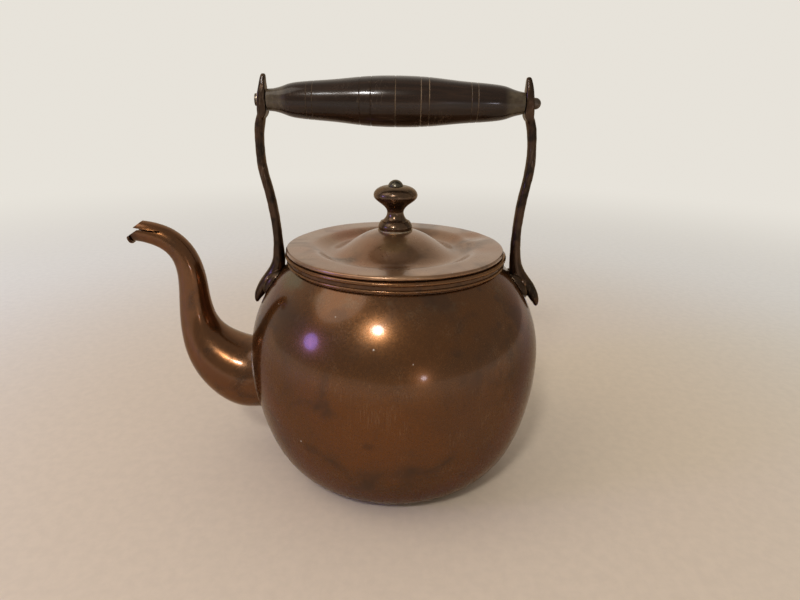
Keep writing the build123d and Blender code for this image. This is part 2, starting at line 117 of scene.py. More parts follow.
def newGroup(kind, name, inputs, outputs):  # a word is a socket's kind, a value is its default too
    group = bpy.data.node_groups.new(name, kind)
    words = {float: "Float", int: "Int", tuple: "Vector"}
    for way, sockets in (("INPUT", inputs), ("OUTPUT", outputs)):
        for label, value in sockets.items():
            word = value if isinstance(value, str) else words[type(value)]
            socket = group.interface.new_socket(label, in_out=way, socket_type="NodeSocket" + word)
            if value is not word:
                socket.default_value = value
    return group.nodes.new("NodeGroupInput").outputs, group.nodes.new("NodeGroupOutput")


def wireUp(node, wires):  # links what is a socket and sets what is a value
    for socket, value in wires.items():
        if isinstance(value, bpy.types.NodeSocket):
            node.id_data.links.new(value, node.inputs[socket])
        elif node.inputs[socket].type == "RGBA":
            node.inputs[socket].default_value = (*value, 1)
        else:
            node.inputs[socket].default_value = value
    return node


def put(tree, kind, wires=None, **settings):
    node = tree.nodes.new(kind)
    for key, value in settings.items():
        setattr(node, key, value)
    return wireUp(node, wires or {})


def out(tree, kind, wires=None, **settings):
    return put(tree, kind, wires, **settings).outputs[0]


def follow(kind, wires, **settings):  # a node's outputs; its tree is the one that its wires come from
    tree = next(value.id_data for value in wires.values() if isinstance(value, bpy.types.NodeSocket))
    return put(tree, kind, wires, **settings).outputs


def closeGroup(result, wires):
    return wireUp(result, wires).id_data


def maths(operation, first, second=0.0, third=0.0):
    return follow("ShaderNodeMath", {0: first, 1: second, 2: third}, operation=operation)[0]


plus, minus, times = (partial(maths, operation) for operation in ("ADD", "SUBTRACT", "MULTIPLY"))
timesPlus = partial(maths, "MULTIPLY_ADD")


def vectors(operation, first, second=(0, 0, 0)):
    outputs = follow("ShaderNodeVectorMath", {0: first, 1: second}, operation=operation)
    return outputs["Value" if operation in ("LENGTH", "DISTANCE", "DOT_PRODUCT") else "Vector"]


def scaled(vector, amount):
    return follow("ShaderNodeVectorMath", {0: vector, "Scale": amount}, operation="SCALE")[0]


def ramp(value, low, high, start=0.0, end=1.0):
    wires = {"Value": value, "From Min": low, "From Max": high, "To Min": start, "To Max": end}
    return follow("ShaderNodeMapRange", wires, interpolation_type="SMOOTHSTEP")[0]


def stepAt(value, edge, half):  # rises from half below the edge to half above it
    return ramp(value, minus(edge, half), plus(edge, half))


def mixed(share, under, over, blend="MIX"):
    return follow("ShaderNodeMix", {0: share, 6: under, 7: over}, data_type="RGBA", blend_type=blend)[2]


def shaded(tone, shade):
    grey = follow("ShaderNodeCombineColor", {0: shade, 1: shade, 2: shade})[0]
    return mixed(1.0, tone, grey, "MULTIPLY")


def grainy(vector, scale, seed, detail=3.0, roughness=0.55, distortion=0.0):
    wires = {"Vector": vector, "Scale": scale, "W": seed, "Detail": detail, "Roughness": roughness}
    return follow("ShaderNodeTexNoise", {**wires, "Distortion": distortion}, noise_dimensions="4D")[0]


def uneven(*field):  # the same noise, as much below zero as above
    return minus(grainy(*field), 0.5)


def marked(tree, name):  # a value that a piece carries on its points
    return put(tree, "ShaderNodeAttribute", attribute_name=name).outputs["Fac"]


def bumped(height):
    return follow("ShaderNodeBump", {"Height": height, "Distance": 1.0, "Strength": 1.0})[0]


# Shader groups shared by the finishes.


def buildAgedTone():
    given, result = newGroup(
        "ShaderNodeTree", "agedTone",
        {
            "Vector": "Vector", "Base": "Color", "Warm": "Color", "Dark": "Color", "Patch Scale": 22.0,
            "Warm Edge": 0.52, "Dark Edge": 0.56, "Seed": 0.0,
        },
        {"Color": "Color", "Tarnish": "Float", "Grain": "Float"},
    )
    spot, seed, scale = given["Vector"], given["Seed"], given["Patch Scale"]
    warm = stepAt(grainy(spot, scale, seed, 3.5, 0.55, 0.5), given["Warm Edge"], 0.13)
    darkField = grainy(spot, times(scale, 1.9), plus(seed, 7.3), 3, 0.5, 0.8)
    dark = stepAt(darkField, given["Dark Edge"], 0.12)
    grain = grainy(spot, 620.0, seed, 3, 0.6)
    tone = mixed(warm, given["Base"], given["Warm"])
    tone = mixed(dark, tone, given["Dark"])
    tone = shaded(tone, ramp(grain, 0.25, 0.75, 0.95, 1.05))
    return closeGroup(result, {"Color": tone, "Tarnish": dark, "Grain": grain})


def buildHairLines():  # fine scratches that run along the axis with the least stretch
    given, result = newGroup(
        "ShaderNodeTree", "hairLines",
        {"Vector": "Vector", "Stretch": (1000.0, 1000.0, 40.0), "Thickness": 0.03, "Share": 0.5, "Seed": 0.0},
        {"Mask": "Float", "Brushed": "Float"},
    )
    stretched = vectors("MULTIPLY", given["Vector"], given["Stretch"])
    field = grainy(stretched, 1.0, given["Seed"], 1.5, 0.5, 0.15)
    offset = maths("ABSOLUTE", minus(field, 0.5))
    line = ramp(maths("DIVIDE", offset, given["Thickness"]), 0.0, 1.0, 1.0, 0.0)
    gate = grainy(given["Vector"], 55.0, plus(given["Seed"], 3.1), 3, 0.6)
    gate = stepAt(gate, minus(0.78, times(given["Share"], 0.5)), 0.06)
    return closeGroup(result, {"Mask": times(line, gate), "Brushed": field})


def buildFlecks():  # small round spots of one size, scattered
    given, result = newGroup(
        "ShaderNodeTree", "flecks",
        {"Vector": "Vector", "Scale": 120.0, "Size": 0.2, "Share": 0.2, "Seed": 0.0},
        {"Mask": "Float"},
    )
    shifted = vectors("ADD", given["Vector"], given["Seed"])
    cells = follow("ShaderNodeTexVoronoi", {"Vector": shifted, "Scale": given["Scale"]}, feature="F1")
    chance = follow("ShaderNodeSeparateColor", {0: cells["Color"]})
    chosen = maths("LESS_THAN", chance[0], given["Share"])
    size = times(given["Size"], plus(chance[1], 0.35))
    ragged = timesPlus(grainy(given["Vector"], 900.0, given["Seed"]), 0.16, cells["Distance"])
    spot = ramp(minus(minus(ragged, 0.08), size), -0.05, 0.04, 1.0, 0.0)
    return closeGroup(result, {"Mask": times(spot, chosen)})


def buildStrikes():  # flats left by a hammer
    given, result = newGroup(
        "ShaderNodeTree", "strikes", {"Vector": "Vector", "Scale": 180.0, "Seed": 0.0}, {"Height": "Float"}
    )
    shifted = vectors("ADD", given["Vector"], given["Seed"])
    wires = {"Vector": shifted, "Scale": given["Scale"], "Smoothness": 0.55}
    cells = follow("ShaderNodeTexVoronoi", wires, feature="SMOOTH_F1")
    swelling = grainy(given["Vector"], times(given["Scale"], 0.6), given["Seed"], 2, 0.5)
    return closeGroup(result, {"Height": plus(cells["Distance"], swelling)})


def buildStainAndLightPatch():  # one soft patch with a ragged edge, for stains and for painted shade and painted highlights
    given, result = newGroup(
        "ShaderNodeTree", "stain",
        {"Vector": "Vector", "Centre": (0, 0, 0), "Reach": (0.01, 0.01, 0.01), "Ragged": 0.6, "Seed": 0.0},
        {"Mask": "Float"},
    )
    away = vectors("SUBTRACT", given["Vector"], given["Centre"])
    away = vectors("LENGTH", vectors("DIVIDE", away, given["Reach"]))
    rag = uneven(given["Vector"], 150.0, given["Seed"], 4, 0.6)
    away = timesPlus(rag, times(given["Ragged"], 2.4), away)
    return closeGroup(result, {"Mask": ramp(away, 0.35, 1.15, 1.0, 0.0)})


def buildWear():  # rubbed edges and dirt in hollows, from the piece's "bend" attribute
    given, result = newGroup(
        "ShaderNodeTree", "wear",
        {"Vector": "Vector", "Bend": 0.0, "Rub": 0.5, "Dirt": 0.5, "Seed": 0.0},
        {"Rubbed": "Float", "Dirty": "Float"},
    )
    patchy = uneven(given["Vector"], 170.0, given["Seed"], 4, 0.65)
    high = plus(given["Bend"], times(patchy, 0.9))
    low = minus(times(patchy, 0.7), given["Bend"])
    rubbed = times(ramp(high, 0.22, 0.75), given["Rub"])
    dirty = times(ramp(low, 0.18, 0.6), given["Dirt"])
    return closeGroup(result, {"Rubbed": rubbed, "Dirty": dirty})


agedTone = buildAgedTone()
hairLines = buildHairLines()
flecks = buildFlecks()
strikes = buildStrikes()
stain = buildStainAndLightPatch()
wear = buildWear()
print("kettle: shader groups built")


# Finishes.


def place(group, wires):
    return follow("ShaderNodeGroup", wires, node_tree=group)


def newFinish(name):
    finish = bpy.data.materials.new(name)
    finish.use_nodes = True
    tree = finish.node_tree
    tree.nodes.clear()
    shader = tree.nodes.new("ShaderNodeBsdfPrincipled")
    tree.links.new(shader.outputs[0], tree.nodes.new("ShaderNodeOutputMaterial").inputs["Surface"])
    return finish, tree, shader, tree.nodes.new("ShaderNodeTexCoord").outputs["Object"]


metalDefaults = {
    "base": (0.20, 0.09, 0.045),
    "warm": (0.26, 0.11, 0.045),
    "dark": (0.09, 0.05, 0.03),
    "pale": (0.45, 0.28, 0.18),
    "patchScale": 22.0,
    "warmEdge": 0.52,
    "darkEdge": 0.60,
    "metallic": 0.9,
    "edgeTint": (0.70, 0.56, 0.42),
    "roughness": 0.34,
    "mottle": 0.10,
    "coat": 0.10,
    "coatRoughness": 0.10,
    "lines": (900.0, 900.0, 30.0),
    "lineShare": 0.45,
    "lineStrength": 0.35,
    "lineDepth": 0.000012,
    "brushed": 0.15,
    "brushDepth": 0.00002,
    "grainHeight": 0.000003,
    "strikeScale": 90.0,
    "strikeDepth": 0.0,
    "waveScale": 24.0,
    "waveDepth": 0.0,
    "spotShare": 0.10,
    "speckShare": 0.02,
    "speckTint": (0.62, 0.55, 0.46),
    "rub": 0.10,
    "dirt": 0.15,
    "verdigris": None,  # (low height, high height, strength)
    "verdigrisTint": (0.17, 0.19, 0.13),
    "tin": False,  # tinned where the "inside" attribute is 1
    "tinTints": ((0.42, 0.40, 0.37), (0.24, 0.22, 0.19)),
    "stains": [],  # stains, painted shade and painted highlights and reflections: (centre, reach, colour, strength)
    "seed": 0.0,
}


def metalFinish(name, **changes):
    look = {**metalDefaults, **changes}
    finish, tree, shader, spot = newFinish(name)
    seed, dark, lineStrength = look["seed"], look["dark"], look["lineStrength"]

    def placed(group, values, shift=0):  # a shared group with this finish's seed
        return place(group, {"Vector": spot, "Seed": seed + shift, **values})

    tones = {"Base": look["base"], "Warm": look["warm"], "Dark": dark, "Patch Scale": look["patchScale"]}
    tone = placed(agedTone, {**tones, "Warm Edge": look["warmEdge"], "Dark Edge": look["darkEdge"]})
    colour, metallic, grain = tone["Color"], look["metallic"], tone["Grain"]
    roughness = timesPlus(tone["Tarnish"], look["mottle"], look["roughness"])
    roughness = plus(roughness, ramp(grain, 0.3, 0.7, -0.03, 0.03))

    def lay(mask, tint, rough=0.0, metal=0.0, share=None):  # a colour over the last, rougher or less metallic
        nonlocal colour, roughness, metallic
        colour = mixed(times(mask, share) if share else mask, colour, tint)
        if rough:
            roughness = timesPlus(mask, rough, roughness)
        if metal:
            metallic = timesPlus(mask, metal, metallic)

    # the patches are stains, painted shade and painted highlights and reflections
    for index, (centre, reach, tint, strength) in enumerate(look["stains"]):
        patch = placed(stain, {"Centre": centre, "Reach": reach}, index)
        lay(patch["Mask"], tint, share=strength)
    if look["spotShare"]:
        spots = placed(flecks, {"Scale": 95.0, "Size": 0.16, "Share": look["spotShare"]})
        lay(spots["Mask"], dark, 0.12, share=0.6)
    lines = placed(hairLines, {"Stretch": look["lines"], "Share": look["lineShare"]})
    lay(times(lines["Mask"], lineStrength), look["pale"], 0.12)
    worn = placed(wear, {"Bend": marked(tree, "bend"), "Rub": look["rub"], "Dirt": look["dirt"]})
    lay(worn["Rubbed"], look["pale"])
    lay(worn["Dirty"], [0.35 * c for c in dark], 0.3, -0.5)
    if look["speckShare"]:
        specks = placed(flecks, {"Scale": 210.0, "Size": 0.10, "Share": look["speckShare"]}, 5)
        lay(specks["Mask"], look["speckTint"], 0.0, -0.6, 0.75)
    if look["verdigris"]:
        low, high, strength = look["verdigris"]
        height = put(tree, "ShaderNodeSeparateXYZ", {0: spot}).outputs["Z"]
        away = maths("ABSOLUTE", minus(height, (low + high) / 2))
        near = ramp(maths("DIVIDE", away, (high - low) / 2), 0.2, 1.0, 1.0, 0.0)
        bloom = times(near, ramp(grainy(spot, 95.0, seed + 2, 5, 0.65), 0.50, 0.66))
        lay(times(bloom, strength), look["verdigrisTint"], 0.35, -0.7)
    if look["tin"]:
        tinned = mixed(ramp(grainy(spot, 70.0, seed, 5, 0.6), 0.35, 0.7), *look["tinTints"])
        lay(marked(tree, "inside"), tinned, 0.18)
    height = times(lines["Brushed"], look["brushed"] * look["brushDepth"])
    if look["strikeDepth"]:
        struck = placed(strikes, {"Scale": look["strikeScale"]})
        height = timesPlus(struck["Height"], look["strikeDepth"], height)
    if look["waveDepth"]:
        wave = grainy(spot, look["waveScale"], seed + 9, 1, 0.4)
        height = timesPlus(wave, look["waveDepth"], height)
    height = timesPlus(lines["Mask"], lineStrength * -look["lineDepth"], height)
    height = timesPlus(grain, look["grainHeight"], height)
    wires = {"Base Color": colour, "Roughness": roughness, "Metallic": metallic, "Normal": bumped(height)}
    wires.update({"Specular Tint": look["edgeTint"], "Coat Weight": look["coat"]})
    wires["Coat Roughness"] = look["coatRoughness"]
    wireUp(shader, wires)
    return finish


gripMiddle = (-0.00095, 0, 0.2149)  # on the tie rod

gripLook = {
    "base": (0.012, 0.0056, 0.0030),
    "brown": (0.025, 0.0118, 0.0060),
    "worn": (0.080, 0.062, 0.038),
    "scribe": (0.20, 0.145, 0.095),
    "roughness": 0.26,
    "shift": -gripMiddle[0],  # how far its middle sits to the left
    "endWear": (0.0565, 0.0620),  # distance from the middle where the varnish is rubbed through
    "shine": {
        "Specular IOR Level": 0.14, "Specular Tint": (1.0, 0.86, 0.70),
        "Coat Weight": 0.50, "Coat Roughness": 0.14, "Coat Tint": (1.0, 0.88, 0.74),
    },
}


def woodFinish(name, look):
    finish, tree, shader, spot = newFinish(name)
    along = out(tree, "ShaderNodeSeparateXYZ", {0: spot})
    fibres = grainy(vectors("MULTIPLY", spot, (14.0, 420.0, 420.0)), 1.0, 1.0, 4, 0.6, 0.3)
    pores = grainy(vectors("MULTIPLY", spot, (90.0, 1800.0, 1800.0)), 1.0, 2.0, 2, 0.5)
    colour = mixed(ramp(fibres, 0.40, 0.72), look["base"], look["brown"])
    colour = mixed(ramp(pores, 0.62, 0.72, 0.0, 0.5), colour, [0.4 * c for c in look["base"]])
    away = maths("ABSOLUTE", plus(along, look["shift"]))
    patchy = ramp(grainy(spot, 120.0, 4.0, 4, 0.65), 0.30, 0.62, 0.25, 1.0)
    rubbed = times(ramp(away, *look["endWear"]), patchy)
    colour = mixed(rubbed, colour, look["worn"])
    groove = marked(tree, "scribe")
    dusty = ramp(grainy(spot, 85.0, 8.0, 3, 0.6), 0.36, 0.62, 0.25, 1.0)
    colour = mixed(times(groove, dusty), colour, look["scribe"])
    wires = {"Vector": spot, "Stretch": (500.0, 160.0, 160.0), "Share": 0.35, "Thickness": 0.02, "Seed": 5.0}
    nicks = place(hairLines, wires)["Mask"]
    colour = mixed(times(nicks, 0.22), colour, look["scribe"])
    smooth, rough = look["roughness"] - 0.05, look["roughness"] + 0.10
    roughness = ramp(grainy(spot, 45.0, 6.0, 4, 0.6), 0.3, 0.7, smooth, rough)
    roughness = timesPlus(rubbed, 0.12, roughness)
    roughness = timesPlus(groove, 0.3, roughness)
    height = times(fibres, 0.000012)
    height = timesPlus(pores, 0.000006, height)
    height = timesPlus(nicks, -0.000012, height)
    wires = {"Base Color": colour, "Roughness": roughness, "Normal": bumped(height)}
    wireUp(shader, {**wires, **look["shine"]})
    return finish


# a dark colour for small marks and for the darker band along the bottom
darkPatchColour = (0.055, 0.026, 0.012)
finishes = {  # by slot; the ring shares the lid's slot
    "body_copper": metalFinish(
        "agedBodyCopper",
        base=(0.122, 0.051, 0.018), warm=(0.142, 0.054, 0.015), dark=(0.080, 0.038, 0.018),
        pale=(0.27, 0.17, 0.10), edgeTint=(0.52, 0.40, 0.28), warmEdge=0.50, roughness=0.26, mottle=0.06,
        coat=0.42, coatRoughness=0.11, lineStrength=0.28, lineShare=0.46, speckShare=0.05, tin=True,
        waveDepth=0.0006, verdigris=(0.116, 0.130, 0.10),
        stains=[
            # painted reflection: warmer orange low on the front, where the brown table shows in the metal
            ((-0.008, -0.084, 0.058), (0.030, 0.03, 0.026), (0.165, 0.060, 0.015), 0.6),
            ((-0.042, -0.072, 0.045), (0.007, 0.02, 0.004), darkPatchColour, 0.45),
            ((-0.012, -0.084, 0.055), (0.004, 0.02, 0.003), darkPatchColour, 0.4),
            ((0.045, -0.070, 0.070), (0.022, 0.03, 0.030), (0.13, 0.058, 0.026), 0.4),
            ((-0.056, -0.030, 0.125), (0.014, 0.016, 0.006), (0.115, 0.125, 0.085), 0.5),
            # darker along the bottom edge
            ((0.0, 0.0, 0.001), (0.064, 0.064, 0.005), darkPatchColour, 0.2),
            # painted shade: the right side of the belly darker, away from the lamps
            ((0.074, -0.040, 0.082), (0.030, 0.045, 0.032), (0.050, 0.023, 0.009), 0.6),
        ],
        seed=1.0,
    ),
    "spout_copper": metalFinish(
        "agedSpoutCopper",
        base=(0.142, 0.058, 0.021), warm=(0.165, 0.064, 0.020), dark=(0.090, 0.041, 0.018),
        pale=(0.30, 0.17, 0.09), patchScale=34.0, roughness=0.23, mottle=0.05, coat=0.35,
        coatRoughness=0.06, lines=(260.0, 900.0, 260.0), lineShare=0.3, waveDepth=0.00012, waveScale=40.0,
        stains=[
            ((-0.152, 0, 0.137), (0.012, 0.012, 0.010), (0.040, 0.020, 0.012), 0.8),
            ((-0.084, 0, 0.055), (0.008, 0.03, 0.03), (0.07, 0.036, 0.02), 0.12),
        ],
        seed=2.0,
    ),
    "lid_copper": metalFinish(
        "agedLidCopper",
        base=(0.270, 0.150, 0.082), warm=(0.280, 0.130, 0.060), dark=(0.150, 0.086, 0.048),
        pale=(0.52, 0.36, 0.22), edgeTint=(0.92, 0.84, 0.76), warmEdge=0.55, roughness=0.30, coat=0.42,
        coatRoughness=0.10, lines=(420.0, 420.0, 900.0), waveDepth=0.0005,
        stains=[
            ((-0.001, -0.018, 0.142), (0.010, 0.010, 0.008), (0.34, 0.20, 0.085), 0.7),
            ((-0.030, 0.030, 0.139), (0.016, 0.016, 0.01), (0.24, 0.085, 0.04), 0.6),
            # painted highlight: a pale band on the front of the lid's roll, where the window reflects
            ((0.002, -0.057, 0.136), (0.026, 0.010, 0.01), (0.42, 0.24, 0.125), 0.7),
        ],
        seed=3.0,
    ),
    "ring": metalFinish(
        "agedRingCopper",
        base=(0.165, 0.080, 0.036), warm=(0.190, 0.084, 0.032), dark=(0.070, 0.035, 0.017),
        pale=(0.36, 0.21, 0.11), edgeTint=(0.62, 0.48, 0.34), roughness=0.25, coat=0.20,
        lines=(420.0, 420.0, 900.0), rub=0.30, dirt=0.60, verdigris=(0.1245, 0.1285, 0.4), seed=12.0,
    ),
    "inner_tin": metalFinish(
        "dullTin",
        base=(0.42, 0.40, 0.37), warm=(0.36, 0.33, 0.29), dark=(0.22, 0.20, 0.17), pale=(0.6, 0.58, 0.55),
        roughness=0.5, coat=0.0, lineShare=0.6, seed=4.0,
    ),
    "handle_bronze": metalFinish(
        "forgedBronze",
        base=(0.050, 0.028, 0.016), warm=(0.070, 0.036, 0.019), dark=(0.021, 0.013, 0.008),
        pale=(0.22, 0.16, 0.105), patchScale=60.0, darkEdge=0.55, roughness=0.31, coat=0.10, lineShare=0.5,
        lines=(900.0, 900.0, 60.0), strikeScale=210.0, strikeDepth=0.00016, rub=0.6, dirt=0.7, seed=5.0,
    ),
    "knob_bronze": metalFinish(
        "turnedBronze",
        base=(0.100, 0.060, 0.035), warm=(0.120, 0.066, 0.034), dark=(0.042, 0.027, 0.017),
        pale=(0.28, 0.21, 0.14), patchScale=90.0, roughness=0.24, coat=0.20, coatRoughness=0.08,
        lines=(260.0, 260.0, 2600.0), brushed=0.35, rub=0.45, dirt=0.5,
        stains=[((-0.0005, 0, 0.1715), (0.008, 0.008, 0.004), (0.11, 0.115, 0.085), 0.6)],
        seed=6.0,
    ),
    "rod_bronze": metalFinish(
        "hammeredRodEnds",
        base=(0.10, 0.075, 0.055), warm=(0.14, 0.10, 0.07), dark=(0.04, 0.03, 0.022), pale=(0.36, 0.30, 0.24),
        patchScale=120.0, strikeScale=420.0, strikeDepth=0.00025, lineShare=0.2, seed=7.0,
    ),
    "rivet_copper": metalFinish(
        "hammeredRivets",
        base=(0.15, 0.085, 0.050), warm=(0.19, 0.10, 0.055), dark=(0.06, 0.04, 0.028),
        patchScale=120.0, strikeScale=480.0, strikeDepth=0.00022, roughness=0.42, seed=8.0,
    ),
    "washer_brass": metalFinish(
        "paleWashers",
        base=(0.50, 0.41, 0.29), warm=(0.42, 0.31, 0.19), dark=(0.20, 0.15, 0.10), pale=(0.66, 0.58, 0.45),
        patchScale=150.0, roughness=0.4, lines=(400.0, 400.0, 2000.0), seed=9.0,
    ),
    "solder": metalFinish(
        "dullSolder",
        base=(0.27, 0.21, 0.15), warm=(0.22, 0.14, 0.085), dark=(0.10, 0.07, 0.05), pale=(0.6, 0.55, 0.48),
        patchScale=140.0, roughness=0.45, coat=0.1, strikeScale=300.0, strikeDepth=0.0002, seed=10.0,
    ),
    "edge_iron": metalFinish(
        "darkWire",
        base=(0.10, 0.085, 0.075), warm=(0.14, 0.08, 0.05), dark=(0.04, 0.035, 0.03),
        roughness=0.55, coat=0.0, seed=11.0,
    ),
    "grip_wood": woodFinish("darkTurnedWood", gripLook),
}
print("kettle:", len(finishes), "finishes made")


# Turned pieces: an outline spun round its axis by Geometry Nodes, with dents pressed in.


def wireInputs(modifier, values):  # by socket identifier, before the first evaluation
    items = modifier.node_group.interface.items_tree
    names = {item.name: item.identifier for item in items if item.in_out == "INPUT"}
    for name, value in values.items():
        modifier[names[name]] = value


def closeTree(result, shape, finish):
    shape = follow("GeometryNodeRealizeInstances", {"Geometry": shape})[0]
    shape = follow("GeometryNodeSetMaterial", {"Geometry": shape, "Material": finish})[0]
    return closeGroup(result, {"Mesh": shape})


def buildTurning():
    given, result = newGroup(
        "GeometryNodeTree", "turning",
        {
            "Outline": "Geometry", "Steps Round": 128,
            "Dent Depth": 0.0, "Dent Scale": 25.0, "Dent Centre": (0, 0, 0),
            "Calm Below": -1.0, "Calm Above": 1.0, "Calm Run": 0.01,
            "Blow Spot": (0, 0, 0), "Blow Reach": 0.01, "Blow Depth": 0.0,
            "Seed": 0.0, "Finish": "Material",
        },
        {"Mesh": "Geometry"},
    )
    tree, outline = result.id_data, given["Outline"]
    size = put(tree, "GeometryNodeAttributeDomainSize", {"Geometry": outline}, component="MESH")
    columns = plus(given["Steps Round"], 1)
    wires = {"Vertices X": size.outputs["Point Count"], "Vertices Y": columns}
    sheet = out(tree, "GeometryNodeMeshGrid", wires)
    index = out(tree, "GeometryNodeInputIndex")
    row = maths("FLOOR", maths("DIVIDE", plus(index, 0.25), columns))
    column = minus(index, times(row, columns))
    taken = put(tree, "GeometryNodeSampleIndex", data_type="FLOAT_VECTOR", domain="POINT")
    spotOnLine = out(tree, "GeometryNodeInputPosition")
    wireUp(taken, {"Geometry": outline, "Value": spotOnLine, "Index": row})
    angle = maths("DIVIDE", times(column, 2 * math.pi), given["Steps Round"])
    wires = {"Vector": taken.outputs["Value"], "Angle": angle}
    spun = out(tree, "ShaderNodeVectorRotate", wires, rotation_type="Z_AXIS")
    shape = out(tree, "GeometryNodeSetPosition", {"Geometry": sheet, "Position": spun})
    shape = out(tree, "GeometryNodeMergeByDistance", {"Geometry": shape, "Distance": 2e-6})
    here = out(tree, "GeometryNodeInputPosition")
    field = uneven(here, given["Dent Scale"], given["Seed"], 2.0, 0.45)
    depth = times(field, times(given["Dent Depth"], 2.0))
    height = put(tree, "ShaderNodeSeparateXYZ", {0: here}).outputs["Z"]
    low, high, run = given["Calm Below"], given["Calm Above"], given["Calm Run"]
    calmLow = ramp(height, low, plus(low, run))
    calmHigh = ramp(height, minus(high, run), high, 1.0, 0.0)
    depth = times(depth, times(calmLow, calmHigh))
    away = vectors("DISTANCE", here, given["Blow Spot"])
    struck = ramp(away, 0.0, given["Blow Reach"], 1.0, 0.0)
    depth = minus(depth, times(struck, given["Blow Depth"]))
    outward = vectors("NORMALIZE", vectors("SUBTRACT", here, given["Dent Centre"]))
    push = scaled(outward, depth)
    shape = out(tree, "GeometryNodeSetPosition", {"Geometry": shape, "Offset": push})
    return closeTree(result, shape, given["Finish"])


def settle(piece, where=None, sharp=34):  # modifiers become a plain mesh with its place in it
    bpy.context.view_layer.update()
    graph = bpy.context.evaluated_depsgraph_get()
    plain = bpy.data.meshes.new_from_object(piece.evaluated_get(graph), depsgraph=graph)
    piece.modifiers.clear()
    piece.data = plain
    shell = bmesh.new()
    shell.from_mesh(plain)
    bmesh.ops.remove_doubles(shell, verts=shell.verts, dist=2e-6)
    bmesh.ops.recalc_face_normals(shell, faces=shell.faces)
    shell.to_mesh(plain)
    shell.free()
    if where:
        plain.transform(where)
    plain.shade_smooth()
    plain.set_sharp_from_angle(angle=math.radians(sharp))
    return piece


def blank(name, points=(), edges=(), faces=()):
    mesh = bpy.data.meshes.new(name)
    mesh.from_pydata(points, edges, faces)
    piece = bpy.data.objects.new(name, mesh)
    bpy.context.scene.collection.objects.link(piece)
    return piece


def grow(piece, tree, values, **rest):
    modifier = piece.modifiers.new(tree.name, "NODES")
    modifier.node_group = tree
    wireInputs(modifier, values)
    return settle(piece, **rest)


turning = buildTurning()


def turnPiece(name, outline, finish, look, where=None):
    piece = blank(name, [(r * mm, 0, z * mm) for r, z in outline])
    return grow(piece, turning, {"Steps Round": 128, "Finish": finish, **look}, where=where)


def batten(points, count, startWay=None, endWay=None):  # smooth line through points, like a bent batten
    p = np.array(points, float)
    t = np.concatenate(([0.0], np.cumsum(np.linalg.norm(np.diff(p, axis=0), axis=1))))
    size = len(p)
    grid, right = np.zeros((size, size)), np.zeros_like(p)
    for k in range(1, size - 1):
        before, after = t[k] - t[k - 1], t[k + 1] - t[k]
        grid[k, k - 1 : k + 2] = after, 2 * (before + after), before
        right[k] = 3 * (after * (p[k] - p[k - 1]) / before + before * (p[k + 1] - p[k]) / after)
    for k, other, way in ((0, 1, startWay), (size - 1, size - 2, endWay)):
        if way is None:
            grid[k, k], grid[k, other] = 2, 1
            right[k] = 3 * (p[other] - p[k]) / (t[other] - t[k])
        else:
            grid[k, k] = 1
            right[k] = np.array(way, float) / np.linalg.norm(way)
    slope = np.linalg.solve(grid, right)
    line = []
    for s in np.linspace(0, t[-1], count):
        k = min(int(np.searchsorted(t, s, side="right")) - 1, size - 2)
        h = t[k + 1] - t[k]
        u = (s - t[k]) / h
        line.append(tuple(
            (2 * u**3 - 3 * u**2 + 1) * p[k] + (u**3 - 2 * u**2 + u) * h * slope[k]
            + (3 * u**2 - 2 * u**3) * p[k + 1] + (u**3 - u**2) * h * slope[k + 1]
        ))
    return line


def bow(middle, across, up, start, end, count):  # part of an ellipse, angles in degrees
    turns = [math.radians(start + (end - start) * k / (count - 1)) for k in range(count)]
    return [(middle[0] + across * math.cos(a), middle[1] + up * math.sin(a)) for a in turns]


def straight(first, last, count=2):
    return [tuple(a + (b - a) * k / (count - 1) for a, b in zip(first, last)) for k in range(count)]


def joined(*runs):
    line = []
    for run in runs:
        for point in run:
            if not line or math.dist(point, line[-1]) > 0.004:
                line.append(point)
    return line


def mark(piece, name, values):
    layer = piece.data.attributes.new(name, "FLOAT", "POINT")
    layer.data.foreach_set("value", np.array(values, np.float32))


def markBend(piece, reach, rounds=2):  # above 0 on ridges, below 0 in hollows
    mesh = piece.data
    count = len(mesh.vertices)
    spots, ways = np.empty(count * 3), np.empty(count * 3)
    mesh.vertices.foreach_get("co", spots)
    mesh.vertices.foreach_get("normal", ways)
    spots, ways = spots.reshape(-1, 3), ways.reshape(-1, 3)
    ends = np.empty(len(mesh.edges) * 2, int)
    mesh.edges.foreach_get("vertices", ends)
    a, b = ends.reshape(-1, 2).T
    run = spots[b] - spots[a]
    span = np.maximum((run**2).sum(1), 1e-12)
    bend, shares = np.zeros(count), np.zeros(count)
    np.add.at(bend, a, -(ways[a] * run).sum(1) / span)
    np.add.at(bend, b, (ways[b] * run).sum(1) / span)
    np.add.at(shares, a, 1)
    np.add.at(shares, b, 1)
    bend /= np.maximum(shares, 1)
    for _ in range(rounds):
        total = bend.copy()
        np.add.at(total, a, bend[b])
        np.add.at(total, b, bend[a])
        bend = total / (shares + 1)
    mark(piece, "bend", np.clip(bend * reach, -1, 1))


def hand(piece, node):  # hands a finished piece over to the frame
    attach(piece, bodyOf[node])
    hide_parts(node)
    print("kettle:", piece.name, len(piece.data.polygons), "faces")


bodyLook = {
    "belly": 85.0,
    "bellyHeight": 74.2,
    "base": 51.0,
    "shoulderRise": 74.3,
    "crown": 2.2,
    "wall": 1.0,
    "neck": 60.8,
    "neckRise": 4.4,
    "bore": {"radius": 21.6, "middle": (-80.0, 0, 54.5), "turn": -88, "depth": 34.0},  # into the spout
    "dents": {
        "Dent Depth": 0.0007, "Dent Scale": 17.0, "Dent Centre": (0, 0, 0.074),
        "Calm Below": 0.001, "Calm Above": 0.124, "Calm Run": 0.02,
        "Blow Spot": (-0.052, -0.066, 0.060), "Blow Reach": 0.013, "Blow Depth": 0.00012,
        "Seed": 3.0, "Steps Round": 160,
    },
}


